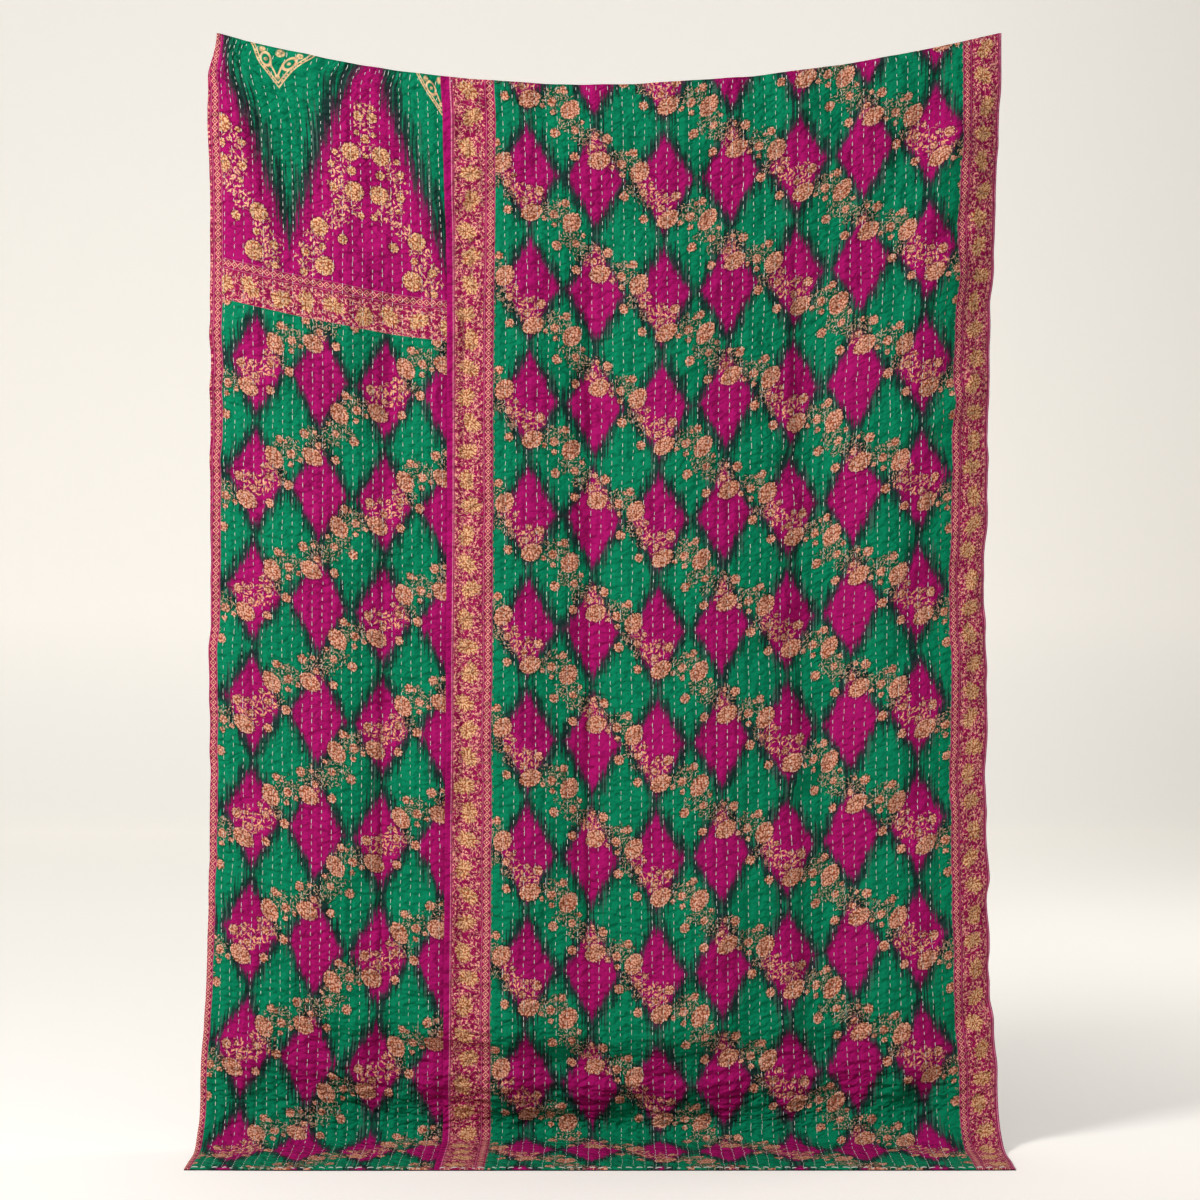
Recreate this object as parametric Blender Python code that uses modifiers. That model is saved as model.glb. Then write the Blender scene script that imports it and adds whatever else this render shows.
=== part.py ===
"""A kantha quilt hung by its two upper corners, its foot lying forward on the floor.

Two printed cloths, sewn side by side, cover one plain backing cloth. Rows of running stitch go down the whole
quilt and draw the cloths together, so that they puff forward between the rows.

Metres, +Z up. The origin is the middle of the upper edge. The printed face looks towards -Y and the floor lies
FLOOR_DROP below the origin. "across" is measured from the middle of the quilt, positive to the viewer's right,
and "down" is measured along the cloth from the upper edge.
"""

import math

import bmesh
import bpy
import numpy as np

# The quilt as it hangs
QUILT_LENGTH = 2.06
HELD_SPAN = 1.348
FLOOR_DROP = 1.825
SAG = 0.088
SAG_LOW_ACROSS = -0.024
SAG_POWER_LEFT = 2.0
SAG_POWER_RIGHT = 1.9

# The cloths
PANEL_THICKNESS = 0.0012
BACKING_THICKNESS = 0.0012
CLOTH_GAP = 0.0005
PUFF_HEIGHT = 0.0011

# The rows of running stitch, counted across each printed cloth
LEFT_STITCH_ROWS = 24
RIGHT_STITCH_ROWS = 51

# Where the cloth meets the floor
SLUMP_LENGTH = 0.22
SLUMP_ROLLS = 2.0
SLUMP_ANGLE = 0.50
HEEL_ANGLE = 0.42
BEND_RADIUS_MIDDLE = 0.028
BEND_RADIUS_SIDES = 0.090
FOLDS_END_ABOVE_FLOOR = 0.30

# Rows of faces down the cloth, in each stretch of it. The hanging ones are closer together at the top.
HANGING_STEPS = 8
HANGING_CROWDING = 1.25
SLUMP_STEPS = 5
BEND_STEPS = 3
FLOOR_STEPS = 1
PROFILE_STEP = 0.002
NORMAL_STEP = 0.004

# The side edges and the seam, as they run from the upper edge to the hem
GUIDES = [
    dict(down=0.00, left=-0.674, seam=-0.290, right=0.674),
    dict(down=0.08, left=-0.689, seam=-0.286, right=0.674),
    dict(down=0.35, left=-0.687, seam=-0.279, right=0.664),
    dict(down=0.70, left=-0.687, seam=-0.279, right=0.654),
    dict(down=1.05, left=-0.689, seam=-0.281, right=0.651),
    dict(down=1.35, left=-0.687, seam=-0.283, right=0.650),
    dict(down=1.60, left=-0.692, seam=-0.285, right=0.657),
    dict(down=1.80, left=-0.702, seam=-0.288, right=0.668),
    dict(down=2.06, left=-0.703, seam=-0.290, right=0.672),
]

# Soft folds of the hanging cloth. depth is positive where the fold stands towards the viewer, and width is the
# distance from its middle at which it has faded to about a third.
FOLDS = [
    dict(name="middle crease", top=-0.036, foot=-0.030, start=0.25, end=2.00, depth=-0.008, width=0.036),
    dict(name="left crease", top=-0.372, foot=-0.385, start=0.45, end=1.95, depth=-0.006, width=0.036),
    dict(name="border crease", top=-0.240, foot=-0.252, start=0.30, end=1.95, depth=-0.005, width=0.034),
    dict(name="left swell", top=-0.500, foot=-0.540, start=0.30, end=2.00, depth=0.012, width=0.090),
    dict(name="middle swell", top=-0.140, foot=-0.150, start=0.20, end=2.00, depth=0.011, width=0.080),
    dict(name="right swell", top=0.120, foot=0.150, start=0.20, end=2.00, depth=0.014, width=0.105),
    dict(name="right hollow", top=0.340, foot=0.360, start=0.30, end=2.00, depth=-0.012, width=0.085),
    dict(name="outer swell", top=0.500, foot=0.520, start=0.30, end=2.00, depth=0.012, width=0.070),
    dict(name="left edge roll", top=-0.700, foot=-0.700, start=0.10, end=2.00, depth=-0.010, width=0.050),
    dict(name="right edge roll", top=0.680, foot=0.680, start=0.05, end=2.00, depth=-0.020, width=0.050),
    dict(name="left grip fold", top=-0.640, foot=-0.570, start=0.00, end=0.70, depth=0.011, width=0.055),
    dict(name="right grip fold", top=0.625, foot=0.540, start=0.00, end=0.70, depth=0.011, width=0.055),
]
FOLD_FADE = 0.16

PANEL_COLOUR = (0.02, 0.27, 0.12, 1.0)
WIDE_PANEL_COLOUR = (0.48, 0.01, 0.16, 1.0)
BACKING_COLOUR = (0.035, 0.022, 0.045, 1.0)
CLOTH_ROUGHNESS = 0.85


def smooth_step(value):
    """Eases from 0 to 1 as value goes from 0 to 1."""
    t = np.clip(value, 0.0, 1.0)
    return t * t * (3.0 - 2.0 * t)


def guide(name, down):
    """Reads one line of GUIDES at a distance down the cloth, eased between its rows."""
    stations = np.array([row["down"] for row in GUIDES])
    places = np.array([row[name] for row in GUIDES])
    lower = np.clip(np.searchsorted(stations, down, side="right") - 1, 0, len(stations) - 2)
    share = (down - stations[lower]) / (stations[lower + 1] - stations[lower])
    return places[lower] + (places[lower + 1] - places[lower]) * smooth_step(share)


def away_from_low(across):
    """0 at the lowest point of the sagging edge, and 1 at either held corner."""
    left = (SAG_LOW_ACROSS - across) / (SAG_LOW_ACROSS + HELD_SPAN / 2)
    right = (across - SAG_LOW_ACROSS) / (HELD_SPAN / 2 - SAG_LOW_ACROSS)
    return np.clip(np.maximum(left, right), 0.0, 1.0)


def edge_rise(across):
    """How far the upper edge stands above its lowest point."""
    power = np.where(across < SAG_LOW_ACROSS, SAG_POWER_LEFT, SAG_POWER_RIGHT)
    return SAG * away_from_low(across) ** power


def column_profile(across, down):
    """How far forward and how high the cloth is, at one place across, for each distance down.

    The cloth hangs straight, slumps in a few soft rolls with its heel set back, bends, and runs along the floor.
    """
    middle_share = 1.0 - away_from_low(across) ** 2
    radius = BEND_RADIUS_SIDES + (BEND_RADIUS_MIDDLE - BEND_RADIUS_SIDES) * middle_share
    lean = HEEL_ANGLE * middle_share
    bend_length = radius * (math.pi / 2 + lean)
    length = SLUMP_LENGTH + bend_length
    along = np.linspace(0.0, length, int(length / PROFILE_STEP) + 1)
    slump = np.clip(along / SLUMP_LENGTH, 0.0, 1.0)
    rolls = SLUMP_ANGLE * middle_share * np.sin(math.pi * slump) ** 2 * np.sin(2 * math.pi * SLUMP_ROLLS * slump)
    heading = rolls - lean * smooth_step(slump)
    heading += (math.pi / 2 + lean) * np.clip((along - SLUMP_LENGTH) / bend_length, 0.0, 1.0)
    step = np.diff(along)
    halfway = (heading[1:] + heading[:-1]) / 2
    forward = np.concatenate([[0.0], np.cumsum(np.sin(halfway) * step)])
    drop = np.concatenate([[0.0], np.cumsum(np.cos(halfway) * step)])
    top = FLOOR_DROP + edge_rise(across)
    slump_start = top - drop[-1]
    past = down - slump_start
    reach = np.interp(past, along, forward) + np.clip(past - length, 0.0, None)
    height = np.where(past < 0.0, top - down, drop[-1] - np.interp(past, along, drop))
    return reach, height, slump_start, slump_start + length


def fold_relief(across, down):
    """How far the soft folds bring the hanging cloth towards the viewer."""
    relief = 0.0
    for fold in FOLDS:
        share = np.clip((down - fold["start"]) / (fold["end"] - fold["start"]), 0.0, 1.0)
        middle = fold["top"] + (fold["foot"] - fold["top"]) * share
        fade = smooth_step((down - fold["start"]) / FOLD_FADE) * smooth_step((fold["end"] - down) / FOLD_FADE)
        relief = relief + fold["depth"] * fade * np.exp(-(((across - middle) / fold["width"]) ** 2))
    return relief


def cloth_point(across, down):
    """The middle of the quilt's thickness, as an x, y, z row."""
    reach, height, _, _ = column_profile(across, np.array([down]))
    relief = fold_relief(across, down) * smooth_step(height[0] / FOLDS_END_ABOVE_FLOOR)
    return np.array([across, -(reach[0] + relief), height[0] - FLOOR_DROP])


def place_across(share, side, down):
    """A place across one printed cloth, where share goes from 0 at its left edge to 1 at its right edge."""
    first, last = ("left", "seam") if side == "left" else ("seam", "right")
    start, end = guide(first, down), guide(last, down)
    return start + (end - start) * share


def rows_down(across_at_top):
    """Where the rows of faces lie down one column: wide apart as it hangs, close together in slump and bend."""
    _, _, slump_start, floor_start = column_profile(across_at_top, np.array([0.0]))
    bend_start = slump_start + SLUMP_LENGTH
    stops = [0.0, slump_start, bend_start, floor_start, QUILT_LENGTH]
    steps = [HANGING_STEPS, SLUMP_STEPS, BEND_STEPS, FLOOR_STEPS]
    crowding = [HANGING_CROWDING, 1.0, 1.0, 1.0]
    rows = [0.0]
    for start, end, count, power in zip(stops[:-1], stops[1:], steps, crowding):
        rows += [start + (end - start) * (i / count) ** power for i in range(1, count + 1)]
    return rows


def column_shares(stitch_rows, with_crests):
    """Shares across one cloth of its edges, its stitch rows and, if asked, the crests between them."""
    pitch = 1.0 / stitch_rows
    valleys = [(row + 0.5) * pitch for row in range(stitch_rows)]
    shares = [(0.0, 0.0)]
    for row, valley in enumerate(valleys):
        shares.append((valley, 0.0))
        if with_crests and row + 1 < stitch_rows:
            shares.append((valley + pitch / 2, 1.0))
    return shares + [(1.0, 0.0)]


def cloth_grid(side, shares, lift, edge_trim):
    """Points of one cloth's facing side: lift brings them along the quilt's normal, crests further by the puff."""
    columns = []
    for share, crest in shares:
        downs = rows_down(place_across(share, side, 0.0))
        column = []
        for down in downs:
            trim = edge_trim[0] * (1.0 - share) - edge_trim[1] * share
            across = place_across(share, side, down) + trim
            point = cloth_point(across, down)
            aside = cloth_point(across + NORMAL_STEP, down) - cloth_point(across - NORMAL_STEP, down)
            along = cloth_point(across, min(down + NORMAL_STEP, QUILT_LENGTH))
            along = along - cloth_point(across, max(down - NORMAL_STEP, 0.0))
            normal = np.cross(along, aside)
            normal = normal / np.linalg.norm(normal)
            on_floor = 1.0 if down >= downs[-1 - FLOOR_STEPS] else 0.0
            if on_floor:
                normal = np.array([0.0, 0.0, 1.0])
            column.append(point + normal * (lift + crest * PUFF_HEIGHT))
        columns.append(column)
    return columns


def sheet_from_grid(name, columns, thickness, offset, colour, collection):
    """A grid laid through the points, hem row first, and given its thickness by Solidify."""
    rows = len(columns[0])
    shape = bmesh.new()
    bmesh.ops.create_grid(shape, x_segments=len(columns) - 1, y_segments=rows - 1, size=0.5)
    shape.verts.ensure_lookup_table()
    for index, vertex in enumerate(shape.verts):
        row_from_hem, column = divmod(index, len(columns))
        vertex.co = columns[column][rows - 1 - row_from_hem]
    mesh = bpy.data.meshes.new(name)
    shape.to_mesh(mesh)
    shape.free()
    mesh.shade_smooth()
    sheet = bpy.data.objects.new(name, mesh)
    collection.objects.link(sheet)
    sheet.data.materials.append(cloth_material(name, colour))
    shell = sheet.modifiers.new("cloth thickness", "SOLIDIFY")
    shell.thickness = thickness
    shell.offset = offset
    shell.use_even_offset = True
    return sheet


def cloth_material(name, colour):
    """A matt cloth of one colour."""
    material = bpy.data.materials.new(name)
    material.use_nodes = True
    shader = material.node_tree.nodes["Principled BSDF"]
    shader.inputs["Base Color"].default_value = colour
    shader.inputs["Roughness"].default_value = CLOTH_ROUGHNESS
    shader.inputs["Metallic"].default_value = 0.0
    return material


def build_quilt():
    """Builds the two printed cloths and the backing cloth."""
    for old in list(bpy.data.objects):
        bpy.data.objects.remove(old)
    collection = bpy.data.collections.new("kantha_quilt")
    bpy.context.scene.collection.children.link(collection)

    front_lift = CLOTH_GAP / 2
    seam_trim = CLOTH_GAP / 2
    left = cloth_grid("left", column_shares(LEFT_STITCH_ROWS, True), front_lift, (0.0, seam_trim))
    right = cloth_grid("right", column_shares(RIGHT_STITCH_ROWS, True), front_lift, (seam_trim, 0.0))
    sheet_from_grid("left_panel", left, PANEL_THICKNESS, 1.0, PANEL_COLOUR, collection)
    sheet_from_grid("right_panel", right, PANEL_THICKNESS, 1.0, WIDE_PANEL_COLOUR, collection)

    behind = cloth_grid("left", column_shares(LEFT_STITCH_ROWS, False), -front_lift, (0.0, 0.0))
    behind += cloth_grid("right", column_shares(RIGHT_STITCH_ROWS, False)[1:], -front_lift, (0.0, 0.0))
    sheet_from_grid("backing_cloth", behind, BACKING_THICKNESS, -1.0, BACKING_COLOUR, collection)


build_quilt()
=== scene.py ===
import functools
import math

import bpy
import numpy as np
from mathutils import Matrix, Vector


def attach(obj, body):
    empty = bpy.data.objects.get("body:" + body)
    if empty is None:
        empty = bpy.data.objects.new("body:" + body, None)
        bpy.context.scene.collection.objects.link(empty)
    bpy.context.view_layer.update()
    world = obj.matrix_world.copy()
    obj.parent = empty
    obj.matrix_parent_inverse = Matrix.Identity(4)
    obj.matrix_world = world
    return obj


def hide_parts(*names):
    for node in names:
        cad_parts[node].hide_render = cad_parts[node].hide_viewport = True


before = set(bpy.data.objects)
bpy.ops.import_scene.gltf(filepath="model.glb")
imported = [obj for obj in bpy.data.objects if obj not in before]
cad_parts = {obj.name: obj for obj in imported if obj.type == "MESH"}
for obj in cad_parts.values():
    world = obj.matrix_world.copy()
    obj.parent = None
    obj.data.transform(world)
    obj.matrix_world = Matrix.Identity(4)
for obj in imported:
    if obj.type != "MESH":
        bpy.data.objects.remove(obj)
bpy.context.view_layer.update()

# ------------------------------------------------------------------------------
# The wide printed cloth. One full width of a fine cotton sari, resist-dyed in diamonds and block-printed
# with trails of small flowers and a border down both sides. It hangs from its upper edge, slumps above the
# floor and runs forward along it, and rows of running stitch draw it into narrow ribs.

# The quilt as it hangs, in metres and radians
QUILT_LENGTH = 2.06
HELD_SPAN = 1.348
FLOOR_DROP = 1.825
SAG = 0.088
SAG_LOW_ACROSS = -0.024
SAG_POWER_LEFT = 2.0
SAG_POWER_RIGHT = 1.9
SLUMP_LENGTH = 0.22
SLUMP_ROLLS = 2.0
SLUMP_ANGLE = 0.50
HEEL_ANGLE = 0.42
BEND_RADIUS_MIDDLE = 0.028
BEND_RADIUS_SIDES = 0.090
FOLDS_END_ABOVE_FLOOR = 0.30
WALK_STEP = 0.001

# One cloth, and how far its hidden side may bend within one coarse face
CLOTH_THICKNESS = 0.0012
CLOTH_GAP = 0.0005
RIB_HEIGHT = 0.0017
EDGE_ROUNDING = 0.0005
BEND_LIMIT = 0.0007
STITCH_PITCH = 0.0130

# Faces: rows down the hanging cloth and down its slump, and columns to each rib in front and behind
HANGING_FACES, SLUMP_FACES = 252, 98
SLUMP_FROM = 1.66
RIB_FACES, RIB_FACES_BEHIND = 4, 2

# How far across the left edge, the seam and the right edge lie, for each distance down the cloth
EDGE_LINES = np.array([
    (0.00, -0.674, -0.290, 0.674),
    (0.08, -0.689, -0.286, 0.674),
    (0.35, -0.687, -0.279, 0.664),
    (0.70, -0.687, -0.279, 0.654),
    (1.05, -0.689, -0.281, 0.651),
    (1.35, -0.687, -0.283, 0.650),
    (1.60, -0.692, -0.285, 0.657),
    (1.80, -0.702, -0.288, 0.668),
    (2.06, -0.703, -0.290, 0.672),
])

# Long soft folds: across at the top and at the foot, start and end down, how far forward, half width
LONG_FOLDS = [
    (-0.036, -0.030, 0.25, 2.00, -0.008, 0.036),
    (-0.372, -0.385, 0.45, 1.95, -0.006, 0.036),
    (-0.240, -0.252, 0.30, 1.95, -0.005, 0.034),
    (-0.500, -0.540, 0.30, 2.00, 0.012, 0.090),
    (-0.140, -0.150, 0.20, 2.00, 0.011, 0.080),
    (0.120, 0.150, 0.20, 2.00, 0.014, 0.105),
    (0.345, 0.372, 0.25, 2.00, -0.018, 0.052),
    (0.470, 0.490, 0.30, 2.00, 0.014, 0.060),
    (-0.700, -0.700, 0.10, 2.00, -0.010, 0.050),
    (0.680, 0.680, 0.05, 2.00, -0.021, 0.055),
    (-0.640, -0.570, 0.00, 0.70, 0.011, 0.055),
    (0.625, 0.540, 0.00, 0.70, 0.011, 0.055),
]
FOLD_FADE = 0.16

# Sharp creases down the middles of the soft folds, in the same columns
SHARP_FOLDS = [
    (-0.036, -0.032, 0.25, 2.00, -0.0055, 0.0074),
    (-0.377, -0.404, 0.42, 1.98, -0.0056, 0.0070),
    (-0.248, -0.256, 0.28, 1.90, -0.0032, 0.0070),
    (0.085, 0.078, 0.95, 1.45, -0.0018, 0.0070),
    (0.318, 0.345, 0.20, 1.95, -0.0034, 0.0095),
    (0.372, 0.392, 0.30, 1.40, -0.0026, 0.0080),
    (0.562, 0.560, 0.35, 1.95, -0.0034, 0.0090),
]

# Creases that cross the cloth: across and down at both ends, how far forward, half width
SHORT_CREASES = [
    (0.022, 0.483, 0.125, 0.470, -0.0028, 0.0080),
    (0.016, 0.462, 0.072, 0.453, -0.0018, 0.0080),
    (-0.004, 0.982, 0.040, 0.988, -0.0039, 0.0068),
    (-0.002, 1.000, 0.040, 1.002, -0.0030, 0.0068),
    (0.220, 0.985, 0.268, 0.972, -0.0039, 0.0068),
    (0.220, 0.998, 0.277, 0.990, -0.0027, 0.0068),
    (0.155, 0.462, 0.262, 0.490, -0.0030, 0.0078),
    (-0.344, 0.985, -0.282, 0.985, -0.0033, 0.0078),
    (0.414, 1.035, 0.500, 1.000, -0.0039, 0.0078),
    (0.634, 0.006, 0.545, 0.060, -0.0048, 0.0078),
    (0.560, 0.075, 0.380, 0.450, -0.0045, 0.0140),
    (0.610, 0.090, 0.480, 0.560, 0.0048, 0.0160),
    (-0.640, 0.050, -0.545, 0.420, -0.0033, 0.0120),
    (0.225, 1.690, 0.330, 1.590, -0.0039, 0.0078),
    (-0.014, 1.602, 0.028, 1.584, -0.0039, 0.0068),
    (-0.465, 1.800, -0.430, 1.800, -0.0039, 0.0068),
    (-0.388, 1.825, -0.378, 1.780, -0.0039, 0.0068),
    (0.300, 1.180, 0.385, 1.140, -0.0030, 0.0078),
    (0.070, 1.310, 0.150, 1.330, -0.0027, 0.0078),
    (-0.180, 0.760, -0.095, 0.775, -0.0024, 0.0078),
    (-0.560, 1.310, -0.470, 1.290, -0.0024, 0.0078),
    (0.370, 1.263, 0.373, 1.383, -0.0042, 0.0085),
    (0.414, 1.475, 0.363, 1.546, -0.0042, 0.0085),
    (0.242, 1.369, 0.346, 1.312, -0.0033, 0.0085),
    (0.440, 1.180, 0.400, 1.270, -0.0033, 0.0085),
    (-0.034, 1.716, 0.230, 1.722, -0.0048, 0.0085),
]

# Ripples of the slumping quilt: how high, how far apart, and from what height above the floor
RIPPLE_HEIGHT, RIPPLE_PITCH = 0.0018, 0.0225
RIPPLES_BELOW, RIPPLES_FADE = 0.36, 0.16


def ease(value):
    t = np.clip(value, 0.0, 1.0)
    return t * t * (3.0 - 2.0 * t)


def edge_line(column, down):
    """How far across one of the edge lines lies, for each distance down."""
    stations, places = EDGE_LINES[:, 0], EDGE_LINES[:, column]
    lower = np.clip(np.searchsorted(stations, down, side="right") - 1, 0, len(stations) - 2)
    share = (down - stations[lower]) / (stations[lower + 1] - stations[lower])
    return places[lower] + (places[lower + 1] - places[lower]) * ease(share)


def away_from_low(across):
    """0 where the upper edge sags lowest, 1 at its held corners."""
    left = (SAG_LOW_ACROSS - across) / (SAG_LOW_ACROSS + HELD_SPAN / 2)
    right = (across - SAG_LOW_ACROSS) / (HELD_SPAN / 2 - SAG_LOW_ACROSS)
    return np.clip(np.maximum(left, right), 0.0, 1.0)


def hang_one_column(across, down):
    """How far forward and how high the cloth is at one place across, for each distance down it."""
    power = SAG_POWER_LEFT if across < SAG_LOW_ACROSS else SAG_POWER_RIGHT
    away = float(away_from_low(across))
    middle = 1.0 - away ** 2
    radius = BEND_RADIUS_SIDES + (BEND_RADIUS_MIDDLE - BEND_RADIUS_SIDES) * middle
    lean = HEEL_ANGLE * middle
    bend = radius * (math.pi / 2 + lean)
    along = np.arange(0.0, SLUMP_LENGTH + bend, WALK_STEP)
    slump = np.clip(along / SLUMP_LENGTH, 0.0, 1.0)
    heading = SLUMP_ANGLE * middle * np.sin(math.pi * slump) ** 2
    heading *= np.sin(2 * math.pi * SLUMP_ROLLS * slump)
    heading += (math.pi / 2 + lean) * np.clip((along - SLUMP_LENGTH) / bend, 0.0, 1.0) - lean * ease(slump)
    forward = np.concatenate([[0.0], np.cumsum(np.sin(heading[:-1]) * np.diff(along))])
    drop = np.concatenate([[0.0], np.cumsum(np.cos(heading[:-1]) * np.diff(along))])
    top = FLOOR_DROP + SAG * away ** power
    past = down - (top - drop[-1])
    reach = np.interp(past, along, forward) + np.clip(past - along[-1], 0.0, None)
    height = np.where(past < 0.0, top - down, drop[-1] - np.interp(past, along, drop))
    return reach, height


TABLE_ACROSS = np.linspace(-0.72, 0.72, 145)
TABLE_DOWN = np.linspace(0.0, QUILT_LENGTH, 1031)
HANG_TABLE = np.array([hang_one_column(across, TABLE_DOWN) for across in TABLE_ACROSS])


def between(grid, row, column):
    """Reads a grid of values, or of points, between its rows and columns."""
    i = np.clip(np.floor(row).astype(int), 0, grid.shape[0] - 2)
    j = np.clip(np.floor(column).astype(int), 0, grid.shape[1] - 2)
    fi, fj = row - i, column - j
    if grid.ndim == 3:
        fi, fj = fi[..., None], fj[..., None]
    upper = grid[i, j] * (1 - fj) + grid[i, j + 1] * fj
    lower = grid[i + 1, j] * (1 - fj) + grid[i + 1, j + 1] * fj
    return upper * (1 - fi) + lower * fi


def wandering(across, down, size, seed):
    """A smooth random field between -1 and 1, whose humps are about size metres wide."""
    grid = np.random.default_rng(seed).uniform(-1.0, 1.0, (64, 64))
    i, j = across / size[0] + 31.37, down / size[1] + 7.71
    i0, j0 = np.floor(i).astype(int), np.floor(j).astype(int)
    fi, fj = ease(i - i0), ease(j - j0)
    near = grid[i0 % 64, j0 % 64] * (1 - fj) + grid[i0 % 64, (j0 + 1) % 64] * fj
    far = grid[(i0 + 1) % 64, j0 % 64] * (1 - fj) + grid[(i0 + 1) % 64, (j0 + 1) % 64] * fj
    return near * (1 - fi) + far * fi


def fold_relief(across, down, fold, astray=0.0, deep=1.0):
    """How far forward one fold brings the cloth, when it wanders astray and changes in depth."""
    top, foot, start, end, forward, width = fold
    middle = top + (foot - top) * np.clip((down - start) / (end - start), 0.0, 1.0) + astray
    fade = ease((down - start) / FOLD_FADE) * ease((end - down) / FOLD_FADE)
    return forward * deep * fade * np.exp(-(((across - middle) / width) ** 2))


def lay_cloth(across, down):
    """The middle of the quilt's thickness as it hangs, and its facing direction, over a grid of places."""
    row = (across - TABLE_ACROSS[0]) / (TABLE_ACROSS[1] - TABLE_ACROSS[0])
    column = (down - TABLE_DOWN[0]) / (TABLE_DOWN[1] - TABLE_DOWN[0])
    reach, height = (between(HANG_TABLE[:, part], row, column) for part in (0, 1))
    astray = 0.0035 * wandering(across * 0.0, down, (1.0, 0.08), 9)
    deep = 0.65 + 0.5 * wandering(across * 0.0, down, (1.0, 0.13), 10)
    relief = np.zeros_like(across)
    for fold in LONG_FOLDS:
        relief += fold_relief(across, down, fold)
    for fold in SHARP_FOLDS:
        relief += fold_relief(across, down, fold, astray, deep)
    hanging = ease(height / FOLDS_END_ABOVE_FLOOR)
    points = np.stack([across, -(reach + relief * hanging), height - FLOOR_DROP], axis=-1)
    facing = facing_of(points)
    return points + facing * crumple(across, down, height)[..., None], facing


def unit(vectors):
    return vectors / np.linalg.norm(vectors, axis=-1, keepdims=True)


def facing_of(points):
    return unit(np.cross(np.gradient(points, axis=0), np.gradient(points, axis=1)))


def crumple(across, down, height):
    """The unevenness of worn cloth, the short creases, and the ripples that a slumping quilt takes."""
    relief = 0.0052 * wandering(across, down, (0.07, 0.12), 3)
    relief += 0.0034 * wandering(across, down, (0.032, 0.030), 4)
    slanting = wandering(across * 0.8 - down * 0.6, across * 0.6 + down * 0.8, (0.15, 0.035), 13)
    relief += 0.0034 * slanting * np.interp(across, [0.0, 0.5], [1.0, 1.6])
    for across_a, down_a, across_b, down_b, forward, width in SHORT_CREASES:
        run, fall = across_b - across_a, down_b - down_a
        length = math.hypot(run, fall)
        along = ((across - across_a) * run + (down - down_a) * fall) / length ** 2
        off = ((across - across_a) * fall - (down - down_a) * run) / length
        ends = ease(along * 4 + 0.5) * ease((1 - along) * 4 + 0.5)
        relief += forward * ends * np.exp(-((off / width) ** 2))
    in_slump = ease((RIPPLES_BELOW - height) / RIPPLES_FADE) * ease(height / 0.02)
    in_slump = in_slump * (1.0 - away_from_low(across) ** 3)
    gathered = 0.5 + 0.5 * wandering(across, down, (0.11, 0.04), 5)
    phase = 1.3 * wandering(across, down, (0.09, 0.10), 6)
    ripple = np.sin(2 * math.pi * down / RIPPLE_PITCH + phase * 3.0)
    relief += RIPPLE_HEIGHT * in_slump * gathered * ripple
    return relief * np.clip(height / 0.012, 0.0, 1.0)


def rib_places(stitch_rows, steps):
    """Shares across one cloth of the faces' edges: steps to each rib, with the stitch rows on them."""
    return np.linspace(0.0, 1.0, stitch_rows * steps + 1)


def add_object(name, data):
    made = bpy.data.objects.new(name, data)
    bpy.context.scene.collection.objects.link(made)
    return made


# Distances down the cloth of the faces' edges, closer together where it slumps and bends
FACE_DOWNS = np.concatenate([
    np.linspace(0.0, SLUMP_FROM, HANGING_FACES + 1),
    np.linspace(SLUMP_FROM, QUILT_LENGTH, SLUMP_FACES + 1)[1:],
])


def place_across(side, share, down):
    """Places across the quilt, for shares across one printed cloth and distances down it."""
    wavy = wandering(down * 0.0, down, (1.0, 0.055), 8) * ease(down / 0.1)
    if side == "left":
        # The upper left corner is gathered a little towards its edge
        gathered = 0.095 * np.exp(-((down / 0.075) ** 2))
        share = share - gathered * ease(share / 0.2) * (1 - ease((share - 0.2) / 0.4))
        spread = 0.026 * (1 - ease(down / 0.034))
        share = share + spread * ease(share / 0.12) * (1 - ease((share - 0.72) / 0.25))
        start, end = edge_line(1, down) - 0.0014 * wavy, edge_line(2, down)
    else:
        start, end = edge_line(2, down), edge_line(3, down) + 0.0026 * wavy
    return start + (end - start) * share


def ribs(stitch_rows, share):
    """0 in the stitch rows and at the cloth's edges, 1 on the ribs between them."""
    edge = ease(np.minimum(share, 1 - share) * stitch_rows * 1.6)
    return np.abs(np.cos(math.pi * share * stitch_rows)) ** 0.7 * edge


def bent_cells(points, row_step, column_step):
    """Which of the hidden side's coarse cells bend too far between their corners to be made of one face."""
    rows, columns = points.shape[0] - 1, points.shape[1] - 1
    row, column = np.meshgrid(np.arange(rows + 1), np.arange(columns + 1), indexing="ij")
    flat = between(points[::row_step, ::column_step], row / row_step, column / column_step)
    off = np.linalg.norm(points - flat, axis=-1)
    bent = np.zeros((rows // row_step, columns // column_step), dtype=bool)
    for r in range(row_step + 1):
        for c in range(column_step + 1):
            ends = rows - row_step + r + 1, columns - column_step + c + 1
            bent |= off[r:ends[0]:row_step, c:ends[1]:column_step] > BEND_LIMIT
    return bent


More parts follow.
